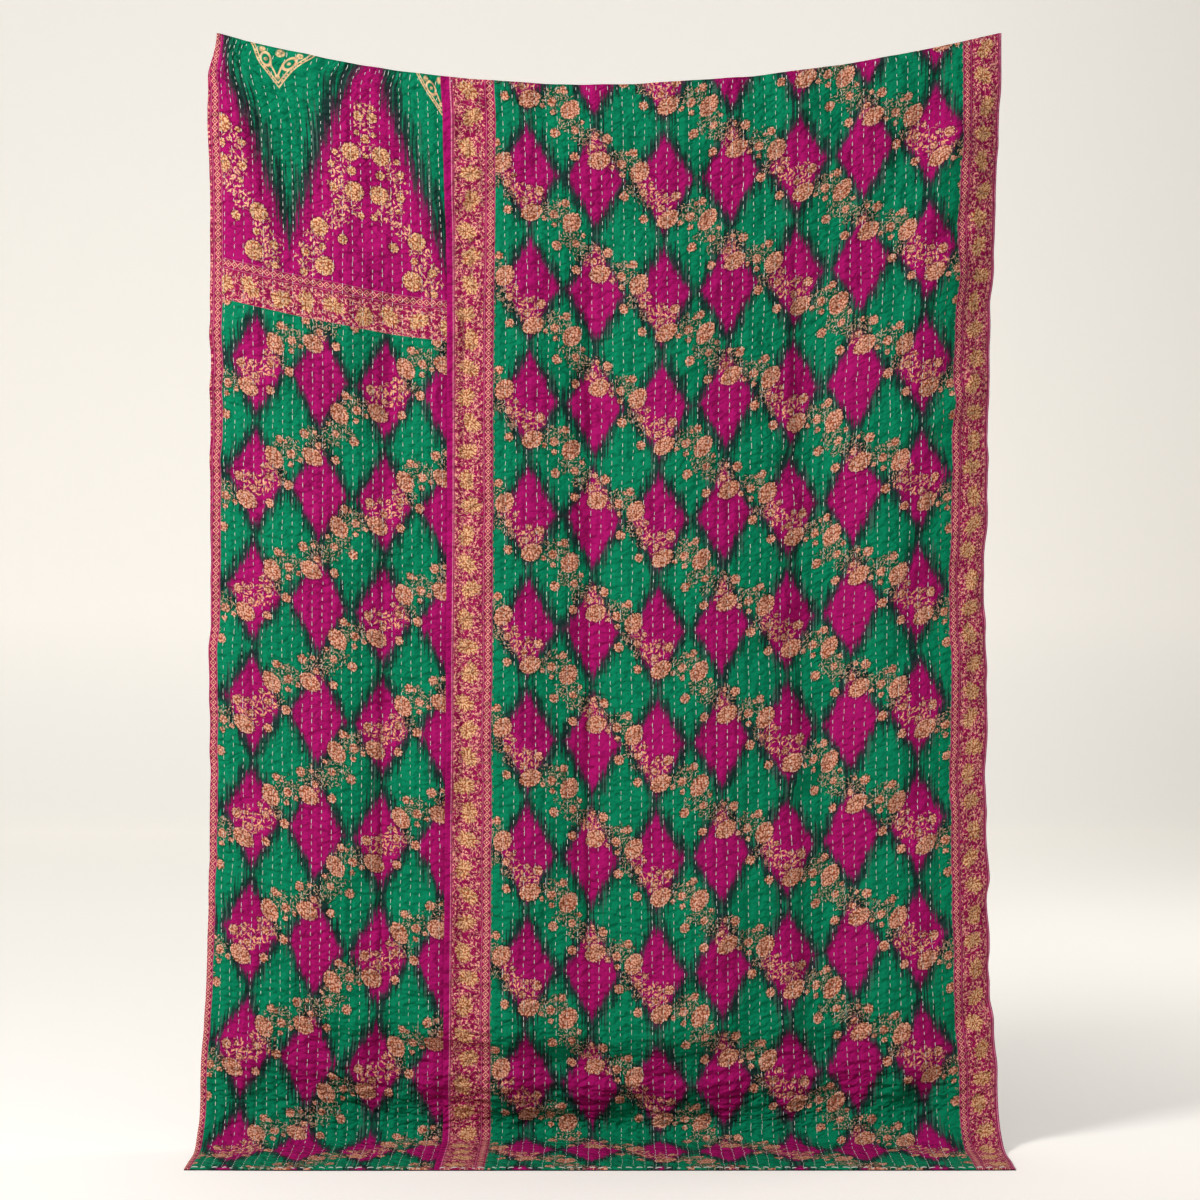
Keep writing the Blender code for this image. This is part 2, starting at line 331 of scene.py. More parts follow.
def cloth_shell(name, across, down, rib_rise, charts, steps, turned_over=False):
    """A closed cloth: fine faces on the side that shows, a rounded edge, larger faces where it's hidden."""
    points, facing = lay_cloth(across, down)
    rows, columns = down.shape
    towards = -1.0 if turned_over else 1.0
    lift = CLOTH_GAP / 2 + CLOTH_THICKNESS + rib_rise
    shown = points + facing * (towards * lift)[..., None]
    hidden = points + facing * towards * CLOTH_GAP / 2
    loop = [(0, c) for c in range(columns - 1)] + [(r, columns - 1) for r in range(rows - 1)]
    loop += [(rows - 1, c) for c in range(columns - 1, 0, -1)] + [(r, 0) for r in range(rows - 1, 0, -1)]
    r, c = np.array(loop).T
    sideways, lengthways = (c == columns - 1) * 1.0 - (c == 0), (r == rows - 1) * 1.0 - (r == 0)
    out = unit(np.gradient(points, axis=1))[r, c] * sideways[:, None]
    out = out + unit(np.gradient(points, axis=0))[r, c] * lengthways[:, None]
    edge = (shown[r, c] + hidden[r, c]) / 2 + out * EDGE_ROUNDING
    index = np.arange(rows * columns).reshape(rows, columns)
    quads = np.stack([index[:-1, :-1], index[1:, :-1], index[1:, 1:], index[:-1, 1:]], axis=-1)
    faces = quads.reshape(-1, 4).tolist()
    size, first = len(loop), rows * columns
    at_back = {place: first + size + i for i, place in enumerate(loop)}
    for i, place in enumerate(loop):
        j = (i + 1) % size
        faces.append([index[place], index[loop[j]], first + j, first + i])
        faces.append([first + i, first + j, first + size + j, first + size + i])
    row_step, column_step = steps
    bent = bent_cells(hidden, row_step, column_step)
    cells = [(row, column) for row in range(0, rows - 1, row_step)
             for column in range(0, columns - 1, column_step)]
    inner = []
    for row, column in cells:
        fine = bent[row // row_step, column // column_step]
        for down_to in range(row, row + row_step + 1, 1 if fine else row_step):
            for over_to in range(column, column + column_step + 1, 1 if fine else column_step):
                if (down_to, over_to) not in at_back:
                    at_back[down_to, over_to] = first + 2 * size + len(inner)
                    inner.append((down_to, over_to))
    for row, column in cells:
        whole = not bent[row // row_step, column // column_step]
        tall, wide = (row_step, column_step) if whole else (1, 1)
        for upper in range(row, row + row_step, tall):
            for left in range(column, column + column_step, wide):
                lower, right = upper + tall, left + wide
                walk = [(upper, over) for over in range(left, right)]
                walk += [(drop, right) for drop in range(upper, lower)]
                walk += [(lower, over) for over in range(right, left, -1)]
                walk += [(drop, left) for drop in range(lower, upper, -1)]
                faces.append([at_back[place] for place in walk if place in at_back])
    around, under = index[r, c], index[tuple(np.array(inner).T)]
    vertices = [shown.reshape(-1, 3), edge, hidden[r, c], hidden.reshape(-1, 3)[under]]
    if turned_over:
        faces = [face[::-1] for face in faces]
    mesh = bpy.data.meshes.new(name)
    mesh.from_pydata(np.concatenate(vertices).tolist(), [], [[int(i) for i in face] for face in faces])
    mesh.shade_smooth()
    corner_vertex = np.empty(len(mesh.loops), dtype=int)
    mesh.loops.foreach_get("vertex_index", corner_vertex)
    charted = np.concatenate([index.ravel(), around, around, under])[corner_vertex]
    for layer_name, values in charts.items():
        layer = mesh.uv_layers.new(name=layer_name)
        layer.uv.foreach_set("vector", values.reshape(-1, 2)[charted].astype(np.float32).ravel())
    mesh.update()
    return add_object(name, mesh), shown


def joining(operation, turned=False):
    def join(wire, other):
        return wire.loom.math(operation, *((other, wire) if turned else (wire, other)))
    return join


class Wire:
    """A socket in a tree of nodes. Sums written on it in Python add their Math nodes."""

    def __init__(self, loom, socket):
        self.loom, self.socket = loom, socket

    def __abs__(self):
        return self.loom.math("ABSOLUTE", self)

    __add__, __radd__ = joining("ADD"), joining("ADD", True)
    __sub__, __rsub__ = joining("SUBTRACT"), joining("SUBTRACT", True)
    __mul__, __rmul__ = joining("MULTIPLY"), joining("MULTIPLY", True)
    __truediv__, __or__, __and__ = joining("DIVIDE"), joining("MAXIMUM"), joining("MINIMUM")
    __gt__, __lt__ = joining("GREATER_THAN"), joining("LESS_THAN")


class Loom:
    """A tree of nodes, built node by node: a cloth's or a thread's material, or the stitches' geometry."""

    def __init__(self, tree):
        self.tree = tree

    def node(self, kind, settings=None, sockets=None, out=0):
        made = self.tree.nodes.new(kind)
        for name, value in (settings or {}).items():
            setattr(made, name, value)
        self.plug(made, sockets or {})
        return Wire(self, made.outputs[out])

    def plug(self, made, sockets):
        for name, value in sockets.items():
            if isinstance(value, Wire):
                self.tree.links.new(value.socket, made.inputs[name])
            else:
                made.inputs[name].default_value = value

    def math(self, operation, *values):
        return self.node("ShaderNodeMath", {"operation": operation}, dict(enumerate(values)))

    def hypot(self, x, y):
        return self.math("SQRT", x * x + y * y)

    def wrap(self, value, low, high):
        return self.math("WRAP", value, high, low)

    def off_nearest(self, value, period):
        """How far value is from the nearest whole number of periods."""
        return abs(self.wrap(value, -period / 2, period / 2))

    def noise(self, x, y, detail, out=0):
        sockets = {"Vector": self.place(x, y), "Scale": 1.0, "Detail": detail}
        return self.node("ShaderNodeTexNoise", {"noise_dimensions": "2D"}, sockets, out)

    def mix(self, share, first, second):
        settings = {"data_type": "RGBA"}
        return self.node("ShaderNodeMix", settings, {0: share, 6: first, 7: second}, out=2)

    def place(self, x, y, z=0.0):
        return self.node("ShaderNodeCombineXYZ", {}, {"X": x, "Y": y, "Z": z})

    def object_place(self):
        return self.node("ShaderNodeTexCoord", out=3)

    def scaled(self, colour, share):
        return self.node("ShaderNodeVectorMath", {"operation": "SCALE"}, {0: colour, "Scale": share})

    def parts(self, vector):
        split = self.node("ShaderNodeSeparateXYZ", {}, {0: vector}).socket.node
        return [Wire(self, part) for part in split.outputs]

    def chart(self, name):
        """Both coordinates of one of the cloth's own charts."""
        return self.parts(self.node("ShaderNodeUVMap", {"uv_map": name}))[:2]

    def distance(self, place, x, y):
        sockets = {0: place, 1: (x, y, 0.0)}
        return self.node("ShaderNodeVectorMath", {"operation": "DISTANCE"}, sockets, out=1)


def inside(value, limit, soft):
    """1 where value is under limit, 0 where it is over, eased over soft on each side."""
    sockets = {"Value": value, "From Min": limit + soft, "From Max": limit - soft}
    return value.loom.node("ShaderNodeMapRange", {}, sockets)


def new_finish(name):
    """The loom of a new material."""
    material = bpy.data.materials.new(name)
    material.use_nodes = True
    loom = Loom(material.node_tree)
    loom.material, loom.shader = material, loom.tree.nodes["Principled BSDF"]
    return loom


def dye(*colour):
    """A dye's linear colour from its red, green and blue on the daylight sRGB scale of 0 to 255."""
    return tuple(((c / 255 + 0.055) / 1.055) ** 2.4 if c > 10 else c / 3294.6 for c in colour) + (1.0,)


GREEN = dye(0, 125, 86)
MAGENTA = dye(163, 12, 97)
FEATHER_PURPLE = dye(72, 24, 58)
FEATHER_GREEN = dye(24, 46, 45)
FEATHER_PALE = dye(74, 112, 96)
BORDER_GROUND = dye(150, 20, 76)
TRAIL_TAN = dye(232, 174, 146)
LEAF_TAN = dye(226, 180, 150)
LEAF_GOLD = dye(238, 172, 126)
BORDER_LEAF = dye(238, 170, 146)
BORDER_TAN = dye(238, 192, 144)
BORDER_OCHRE = dye(160, 86, 54)
END_GOLD = dye(238, 184, 138)
INK_BROWN = dye(152, 78, 50)
FINE_LINE = dye(222, 138, 160)

# The print is charted on squares of 1.72 mm. In squares: the diamonds, the bands of the border (middle,
# half width), its fine lines (middle, half width, strength), rosettes and dotted chain, the spacing of the
# block's seeds and leaves, the width of a dyed thread, and the trail's small flowers and leaf clumps
# (x, y, radius) from the middle of its broad flower.
CHART_SQUARE = 0.00172
DIAMOND_COLUMN = 67.15
DIAMOND_ROW = 113.7
BORDER_WIDTH = 52.0
FLOWER_BAND = (26.7, 14.8)
DOTTED_BAND = (47.4, 3.2)
MAGENTA_EDGE = 8.9
BORDER_LINES = [(9.2, 0.6, 0.9), (11.6, 0.35, 0.35), (43.0, 0.35, 0.5), (51.6, 0.35, 0.4)]
ROSETTE_PITCH = 27.8
CHAIN_PITCH = 6.6
SEED_SPACING = 2.3
LEAF_SPACING = 3.35
THREAD_WIDTH = 1.4
TRAIL_FLOWERS = [
    (7.9, -21.9, 4.8), (-6.5, -12.3, 3.6), (43.4, 55.4, 4.4), (24.2, 33.3, 4.8), (43.6, 28.9, 4.0),
    (12.5, 5.6, 2.6), (22.0, 1.5, 4.6), (33.7, -11.0, 4.1), (22.4, 12.0, 2.8), (-2.5, -25.0, 2.6),
    (28.0, -9.5, 2.2), (50.5, 20.0, 2.4),
]
TRAIL_LEAVES = [(-7.0, -17.0, 18.0), (24.0, -3.0, 16.0), (40.0, 24.0, 15.0), (52.0, 36.0, 15.0)]


def resist_ground(loom, u, v, d):
    """Magenta where d is under 0.85, green over it, and the dark feathers that the resist left between."""
    thread = loom.math("FLOOR", u / THREAD_WIDTH)
    dip, run, tone = loom.parts(loom.noise(thread * 5.37, v / 26.0, 0.0, out=1))
    ink = loom.node("ShaderNodeTexWhiteNoise", {"noise_dimensions": "1D"}, {"W": thread})
    dip, run = (dip - 0.5) * 3.0, (run - 0.5) * 3.0
    on_green = 1 - inside(d - dip * 0.10, 0.845, 0.025)
    ground = loom.mix(on_green, MAGENTA, GREEN)
    outer = inside(d - run * 0.18 - ink * 0.09, 1.085, 0.09)
    inner = 1 - inside(d - dip * 0.08, 0.795, 0.085)
    near = inside(d - dip * 0.10, 0.90, 0.05)
    shade = loom.mix(near, loom.mix((ink > 0.86) * 0.6, FEATHER_GREEN, FEATHER_PALE), FEATHER_PURPLE)
    soaked = ink * 1.4 + 0.55 + near * 0.5 & 0.96
    ground = loom.mix(outer * inner * soaked, ground, shade)
    return ground, on_green, 0.86 + 0.22 * tone + 0.06 * ink


def diamonds(loom, u, v, first_column, first_row, column_width):
    """0 in the middle of each magenta diamond, 1 where the diamonds would touch."""
    across = loom.off_nearest(u - first_column, column_width) * (2 / column_width)
    return across + loom.off_nearest(v - first_row, DIAMOND_ROW) * (2 / DIAMOND_ROW)


def block_cells(loom, x, y, spacing):
    """The carved block's cells: where the middle of a place's cell lies, and three chances of its own."""
    cell = loom.node("ShaderNodeTexVoronoi", {"voronoi_dimensions": "2D"}, {
        "Vector": loom.place(x / spacing, y / spacing), "Scale": 1.0, "Randomness": 0.85}).socket.node
    middle = loom.parts(Wire(loom, cell.outputs["Position"]))
    return middle[0] * spacing, middle[1] * spacing, loom.parts(Wire(loom, cell.outputs["Color"]))


def petal(loom, dx, dy, turn, half_long, half_wide):
    """Under 1 inside a small pointed petal that is turned about its middle, over 1 outside it."""
    cosine, sine = loom.math("COSINE", turn), loom.math("SINE", turn)
    along, off = (dx * cosine + dy * sine) / half_long, (dy * cosine - dx * sine) / half_wide
    return abs(off) + along * along


def one_repeat(loom, x, y):
    """A place's coordinates within its own repeat of the flower trail."""
    column = loom.math("FLOOR", (x + 13.6) / DIAMOND_COLUMN)
    return x - column * DIAMOND_COLUMN, loom.wrap(y - column * (DIAMOND_ROW / 2), -32.0, DIAMOND_ROW - 32.0)


def broad_flowers(loom, x, y):
    """How far out of the nearest of a repeat's two broad flowers a place is, in squares."""
    second = x > 24.0
    dx, dy = x - second * 39.3, y - second * 8.3
    cosine, sine = 0.90 - second * 0.33, 0.44 + second * 0.38
    along, off = dx * cosine - dy * sine, abs(dx * sine + dy * cosine)
    return loom.hypot(along, off + 3.6) - 12.3


def nearest(wires):
    """The smallest of several values."""
    return functools.reduce(lambda first, second: first & second, wires)


def small_motifs(loom, x, y, motifs):
    """Distance out of the nearest of a list of round motifs."""
    place = loom.place(x, y)
    return nearest(loom.distance(place, *centre) - radius for *centre, radius in motifs)


def leaf_clumps(loom, x, y, clumps):
    """The share of the way out of the nearest of a list of clumps, which are wider than they are high."""
    place = loom.place(x, y * 1.35)
    return nearest(loom.distance(place, cx, cy * 1.35) / radius for cx, cy, radius in clumps)


def trail_flowers(loom, repeat):
    return broad_flowers(loom, *repeat) & small_motifs(loom, *repeat, TRAIL_FLOWERS)


def rosettes(loom, m, along, first):
    """How far out of the border's swaying rosettes a place is, and which way from the nearest's middle."""
    bloom = loom.math("FLOOR", (along - first) / ROSETTE_PITCH + 0.5)
    x = m - 27.0 - loom.math("SINE", bloom * 2.2) * 3.2
    y = along - first - bloom * ROSETTE_PITCH - loom.math("SINE", bloom * 4.1) * 1.6
    turn = loom.math("ARCTAN2", y, x)
    reach = 8.9 + loom.math("SINE", turn * 8.0 + bloom) * 0.8
    reach = reach + loom.math("SINE", turn * 2.0 + bloom * 2.6) * 1.5
    return loom.hypot(x, y) - reach, turn


def print_inks(loom, x, y, dyed, flower_at, clump_at, first_rosette, in_border, golden=0.0):
    """Prints the trail and the border over the dyed ground, petal by petal as a carved block leaves them.

    x and y are the place on the field's chart, or in the border the distance in from the cloth's edge and
    along it. The print is golden where golden is 1.
    """
    sway, grit, drift = loom.parts(loom.noise(x * 0.12, y * 0.12, 1.0, out=1))
    ground, on_green, tone = dyed
    in_field = 1 - in_border
    on_green = on_green * in_field
    spacing = LEAF_SPACING + 1.05 * in_border + 1.35 * (in_field - on_green)
    seed_x, seed_y, seed_chance = block_cells(loom, x, y, SEED_SPACING)
    leaf_x, leaf_y, leaf_chance = block_cells(loom, x, y, spacing)
    swirl = (sway - 0.5) * 11.0
    rosette, outwards = rosettes(loom, seed_x, seed_y, first_rosette)
    band = inside(abs(x - FLOWER_BAND[0]), FLOWER_BAND[1], 0.3) * in_border
    bloom = inside(rosette, 0.0, 0.05) * band
    seed_turn = outwards * in_border + (swirl + seed_chance[2] * 2.4) * in_field
    seed = petal(loom, x - seed_x, y - seed_y, seed_turn, 1.42, 0.84) / (0.8 + 0.35 * seed_chance[1])
    flower_edge = flower_at(x, y)
    notched = flower_edge + (seed - 0.8 & 1.4) * 0.75
    flower = inside(notched, 0.0, 0.3) * in_field
    beside = inside(flower_edge, 1.3, 0.6) * in_field
    clump = inside(clump_at(leaf_x, leaf_y) + (grit - 0.5) * 1.1, 0.90, 0.04) * in_field
    leafy = clump | band * (1 - bloom)

    ground = loom.mix(in_border, ground, BORDER_GROUND)
    ground = loom.mix(inside(x, MAGENTA_EDGE, 0.3) * in_border, ground, MAGENTA)
    leaf_turn = (swirl - 1.0) * in_border + (swirl * 0.35 - 1.1) * in_field + (leaf_chance[2] - 0.5) * 2.2
    half_long, half_wide = 0.60 + 0.10 * in_border + 0.06 * (in_field - on_green), 0.19 - 0.030 * in_border
    leaf = petal(loom, (x - leaf_x) / spacing, (y - leaf_y) / spacing, leaf_turn, half_long, half_wide)
    leaf = leaf / (0.56 + 0.50 * leaf_chance[1] + 0.12 * (1 - on_green))
    stem = inside(abs(drift - 0.5), 0.016, 0.012) * 0.7
    drawn = (inside(leaf, 0.92, 0.16) | stem) * (1 - beside * 0.8)
    lit = 1 - (leafy * (0.14 * in_field + 0.36 * on_green) | beside * 0.42)
    ground = loom.scaled(ground, lit)
    leaf_ink = loom.mix(in_border, loom.mix(on_green, LEAF_GOLD, LEAF_TAN), BORDER_LEAF)
    leaf_ink = loom.mix(golden, leaf_ink, END_GOLD)
    colour = loom.mix(leafy * drawn * (0.94 - 0.30 * on_green), ground, leaf_ink)

    along_link, off_chain = abs(loom.wrap(y, 0.0, CHAIN_PITCH) - CHAIN_PITCH / 2), abs(x - DOTTED_BAND[0])
    chain = along_link / (CHAIN_PITCH / 2) + off_chain / DOTTED_BAND[1]
    links = inside(abs(chain - 1.0), 0.17, 0.10) * 0.90 | inside(chain, 0.34, 0.12)
    dotted = links * inside(off_chain, DOTTED_BAND[1], 0.2) * in_border
    colour = loom.mix(dotted * 0.95, colour, BORDER_LEAF)
    for middle, half, strength in BORDER_LINES:
        line = inside(abs(x - middle), half, 0.25) * in_border
        colour = loom.mix(line * strength, colour, FINE_LINE)

    light = loom.mix(in_border | golden, TRAIL_TAN, BORDER_TAN)
    dark = loom.mix(in_border | golden, INK_BROWN, BORDER_OCHRE)
    inked = loom.mix(inside(seed, 1.0, 0.30) * (0.66 + 0.34 * seed_chance[0]), dark, light)
    colour = loom.mix(flower | bloom, colour, inked)
    return loom.scaled(colour, tone)


# Heights of the finest relief, in metres: weave, pull of the stitches, and three sorts of unevenness
WEAVE_RELIEF, PULL_RELIEF = 0.000025, 0.00045
WEAR_RELIEF, DRAWN_RELIEF, CREASE_RELIEF = 0.0020, 0.0110, 0.0012


def woven_finish(loom, colour, roughness):
    """Joins a cloth's colour with its weave, the pull of its stitches and its dull surface."""
    u, v = loom.chart("print")
    row, stitch = loom.chart("sewing")
    weave = loom.math("SINE", u * 21.0) * loom.math("SINE", v * 21.0)
    valley = loom.math("COSINE", row * (2 * math.pi)) * 0.5 + 0.5
    pucker = loom.math("COSINE", stitch * (2 * math.pi)) * valley
    wear = loom.noise(u * 0.35, v * 0.22, 3.0)
    drawn_up = loom.noise(u * 0.07, v * 0.15, 1.0)
    wrinkle = loom.noise((u * 0.80 - v * 0.60) * 0.045, (u * 0.60 + v * 0.80) * 0.13, 1.0)
    crease = abs(wrinkle - 0.5) * 8.0 & 1.0
    height = weave * WEAVE_RELIEF - pucker * PULL_RELIEF
    height = height + wear * WEAR_RELIEF + drawn_up * DRAWN_RELIEF + crease * CREASE_RELIEF
    normal = loom.node("ShaderNodeBump", {}, {"Height": height, "Strength": 1.0, "Distance": 1.0})
    loom.plug(loom.shader, {
        "Base Color": colour, "Normal": normal, "Roughness": roughness, "Specular IOR Level": 0.08,
    })


def wide_print():
    """The wide cloth's print: a border at each side, and the diamonds with their flower trails between."""
    loom = new_finish("wide_printed_cotton")
    u, v = loom.chart("print")
    m, along = loom.chart("border")
    dyed = resist_ground(loom, u, v, diamonds(loom, u, v, 84.0, 91.5, DIAMOND_COLUMN))
    in_border = m < BORDER_WIDTH
    x, y = u + (m - u) * in_border, v + (along - v) * in_border

    def trail_place(cell_x, cell_y):
        """The trails run a little flatter than the diamonds over the right-hand part of the field."""
        flatter = (cell_x - 190.0 | 0.0) * 0.05
        return one_repeat(loom, cell_x * 0.99 - 86.0, cell_y - 129.5 + flatter)

    def flower_at(seed_x, seed_y):
        return trail_flowers(loom, trail_place(seed_x, seed_y))

    def clump_at(leaf_x, leaf_y):
        return leaf_clumps(loom, *trail_place(leaf_x, leaf_y), TRAIL_LEAVES)

    colour = print_inks(loom, x, y, dyed, flower_at, clump_at, 12.5, in_border)
    woven_finish(loom, colour, 0.82)
    return loom.material


def pairs(u, v):
    return np.stack([u, v], axis=-1)


def sewing_chart(share, down, stitch_rows, phases):
    """The count of rows of stitches across the cloth, and of stitches down them."""
    phase = np.interp(share * stitch_rows - 0.5, np.arange(stitch_rows), phases)
    return pairs(share * stitch_rows - 0.5, down / STITCH_PITCH - phase)


def print_drift(across, down):
    """How the print wanders off its chart where the cloth was drawn up in quilting, in squares."""
    return 1.2 * wandering(across, down, (0.30, 0.40), 11), 2.2 * wandering(across, down, (0.22, 0.30), 12)


# The distances down for which each cloth says how far its print is drawn off its chart, in squares
DRAWN_DOWNS = [0.12, 0.29, 0.45, 0.61, 0.78, 0.94, 1.10, 1.27, 1.43, 1.59, 1.76, 1.90]

# Rows of stitches, width in squares, and where in its pitch each row of stitches starts
RIGHT_ROWS = 51
RIGHT_WIDTH = 541.5
right_phases = np.random.default_rng(21).uniform(0.0, 1.0, RIGHT_ROWS)
share, down = np.meshgrid(rib_places(RIGHT_ROWS, RIB_FACES), FACE_DOWNS)
across = place_across("right", share, down)
drift_u, drift_v = print_drift(across, down)
# The field is drawn in towards its right-hand side, the most at mid height, and its trails sag a little
field_u = share * (RIGHT_WIDTH + np.interp(down, [0.0, 0.35, 0.95], [8.5, 14.5, 19.7])) + drift_u - 0.7
field_v = down / CHART_SQUARE + drift_v
field_v = field_v - np.interp(share, [0, 0.2, 0.39, 0.52, 0.64, 0.76, 1], [0, 0, 7.5, 0, -1, -6, -6])
field_v = field_v + np.interp(down, DRAWN_DOWNS, [-1, -1, -1, -1.5, -0.5, 0.5, 3.3, 4.5, 4, 2.5, -2.8, -2.8])
sags_by = np.interp(down, [0.45, 1.43, 1.76], [0.8, 8, 7.5])
field_v = field_v - np.interp(share, [0.38, 0.56, 0.69], [0, 0.7, 1]) * sags_by
# Below the upper end, the seam takes in the first squares of the left-hand border
seam_takes = 5.2 * ease(down / 0.43)
taken_in = seam_takes * ease(share * RIGHT_WIDTH / 11.0) * (1 - ease((share - 0.2) / 0.2))
left_in = share * RIGHT_WIDTH + taken_in
right_in = (1 - share) * RIGHT_WIDTH * 1.198 + 8.0
wide_charts = {
    "print": pairs(field_u, field_v),
    "border": pairs(np.minimum(left_in, right_in), down / CHART_SQUARE + drift_v),
    "sewing": sewing_chart(share, down, RIGHT_ROWS, right_phases),
}
right_cloth, right_face = cloth_shell(
    "right_printed_cloth", across, down, RIB_HEIGHT * ribs(RIGHT_ROWS, share), wide_charts, (2, 2))
right_cloth.data.materials.append(wide_print())
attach(right_cloth, "root")
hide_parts("right_panel")

# ------------------------------------------------------------------------------
# The narrow printed cloth, on the left: the end of a second sari of the same print, turned in at its side
# border and lapped under the wide cloth's magenta edge. Its flower arches stand between green points, over a
# cross border.

# In squares: the arches' spacing, the middle of the green point between two of them, the depth of the sari's
# end, the cross border's edges and where it counts from, and the flowers, buds and leaf clumps (x, y, radius)
# of one arch from its middle line
ARCH_PERIOD, POINT_MIDDLE = 157.8, 78.2
END_DEPTH = 240.0
CROSS_BORDER = (221.5, 261.7)
CROSS_EDGE = 273.5
ARCH_FLOWERS = [(15.3, 89.0, 9.0), (12.5, 127.7, 9.4), (48.9, 168.5, 9.0), (43.6, 207.0, 9.6)]
ARCH_BUDS = [
    (6.8, 52.0, 5.2), (0.0, 74.0, 4.6), (14.4, 107.9, 4.4), (33.8, 126.6, 4.6), (46.0, 188.0, 3.6),
    (25.5, 177.0, 4.8), (34.5, 104.0, 3.6), (6.4, 150.4, 3.4), (63.5, 197.0, 4.4), (64.5, 217.0, 4.0),
    (8.5, 69.0, 2.6), (0.0, 91.0, 3.0), (31.0, 92.0, 3.0), (31.0, 141.0, 2.8), (6.0, 42.0, 2.4),
]
ARCH_LEAVES = [
    (3.0, 44.0, 8.0), (2.0, 61.0, 7.0), (5.0, 84.0, 7.0), (22.0, 96.0, 9.0), (29.0, 108.0, 9.0),
    (29.0, 122.0, 9.5), (25.0, 136.0, 10.0), (17.0, 145.0, 10.0), (27.0, 152.0, 9.0), (36.0, 160.0, 10.0),
    (52.0, 180.0, 10.0), (58.0, 193.0, 11.0), (59.0, 209.0, 12.0),
]


def gold_points(loom, w, v, seed):
    """The sari end's gold points: a double outline, rings on their stems, and small flowers between them."""
    edge = (w / 25.5 + v / 37.5 - 1.0) * 21.0
    outline = inside(abs(abs(edge) - 1.15), 0.50, 0.25)
    outline = outline | inside(abs(edge), 0.45, 0.3) * (seed < 0.9)
    ring_x, ring_y = (w - 9.8 + (v - 14.0) * 0.30) / 4.3, (v - 14.0) / 6.4
    ring = inside(abs(loom.hypot(ring_x, ring_y) - 1.0), 0.19, 0.09)
    stem = inside(abs(w - 1.2 - (27.0 - v) * 0.38), 0.7, 0.3) * (v > 17.0) * (v < 29.0)
    dots = small_motifs(loom, w, v, [(9.5, 14.0, 1.6), (0.0, 5.5, 3.8), (15.5, 5.0, 2.8), (0.0, 29.5, 2.2)])
    petals = inside(dots, 0.0, 0.4) * (0.45 + 0.55 * inside(seed, 1.0, 0.25))
    return (outline | ring | stem | petals) * (v < 45.0)


def narrow_print():
    """The narrow cloth's print: the sari's end, a cross border, then the diamonds, and a side border."""
    loom = new_finish("narrow_printed_cotton")
    u, v = loom.chart("print")
    side_m, side_along = loom.chart("border")
    at_end = inside(v, END_DEPTH, 1.0)
    below = 1 - at_end
    w = loom.off_nearest(u - POINT_MIDDLE, ARCH_PERIOD)
    point = 1.945 - (w / 69.0 + v / 186.0) * 1.1
    field = diamonds(loom, u, v, 45.4, 92.0, 64.0)
    dyed = resist_ground(loom, u, v, point * at_end + field * below)
    in_side = side_m < BORDER_WIDTH
    in_cross = (v > CROSS_BORDER[0]) * (v < CROSS_BORDER[1]) * (1 - in_side)
    in_border = in_side | in_cross
    x = side_m * in_side + (CROSS_EDGE - v) * in_cross + u * (1 - in_border)
    y = side_along * in_side + u * in_cross + v * (1 - in_border)

    def arch_place(cell_x, cell_y):
        return ARCH_PERIOD / 2 - loom.off_nearest(cell_x - POINT_MIDDLE, ARCH_PERIOD), cell_y

    def trail_place(cell_x, cell_y):
        return one_repeat(loom, (36.7 - cell_x) * (DIAMOND_COLUMN / 65.0), cell_y - 115.4)

    def flower_at(seed_x, seed_y):
        arch = small_motifs(loom, *arch_place(seed_x, seed_y), ARCH_FLOWERS + ARCH_BUDS)
        return arch * at_end + trail_flowers(loom, trail_place(seed_x, seed_y)) * below

    def clump_at(leaf_x, leaf_y):
        arch = leaf_clumps(loom, *arch_place(leaf_x, leaf_y), ARCH_LEAVES) * 0.84
        return arch * at_end + leaf_clumps(loom, *trail_place(leaf_x, leaf_y), TRAIL_LEAVES) * below

    colour = print_inks(loom, x, y, dyed, flower_at, clump_at, 12.0, in_border, at_end * (1 - in_border))
    grain = loom.node(
        "ShaderNodeTexVoronoi", {"voronoi_dimensions": "2D"}, {"Vector": loom.place(u, v), "Scale": 0.45})
    gold = gold_points(loom, w, v, grain * 2.2) * (1 - in_border)
    colour = loom.mix(gold, colour, BORDER_TAN)
    woven_finish(loom, colour, 0.82)
    return loom.material


LEFT_ROWS = 24
LEFT_WIDTH = 236.5
left_phases = np.random.default_rng(22).uniform(0.0, 1.0, LEFT_ROWS)
share, down = np.meshgrid(rib_places(LEFT_ROWS, RIB_FACES), FACE_DOWNS)
across = place_across("left", share, down)
drift_u, drift_v = print_drift(across, down)
field_u = share * LEFT_WIDTH + drift_u + 6.0 * ease((down - 1.50) / 0.40)
field_u = field_u + np.interp(down, DRAWN_DOWNS, [0, -1.5, -3, -2, -0.5, 1, 0, 1, 1.5, 2, 2.5, 2.5])
field_v = down / CHART_SQUARE + drift_v
field_v = field_v - np.interp(down, DRAWN_DOWNS, [0, 1.5, 3.5, 4, 3.5, 2.5, 0.5, -0.5, 0, 2.5, 5.5, 5.5])
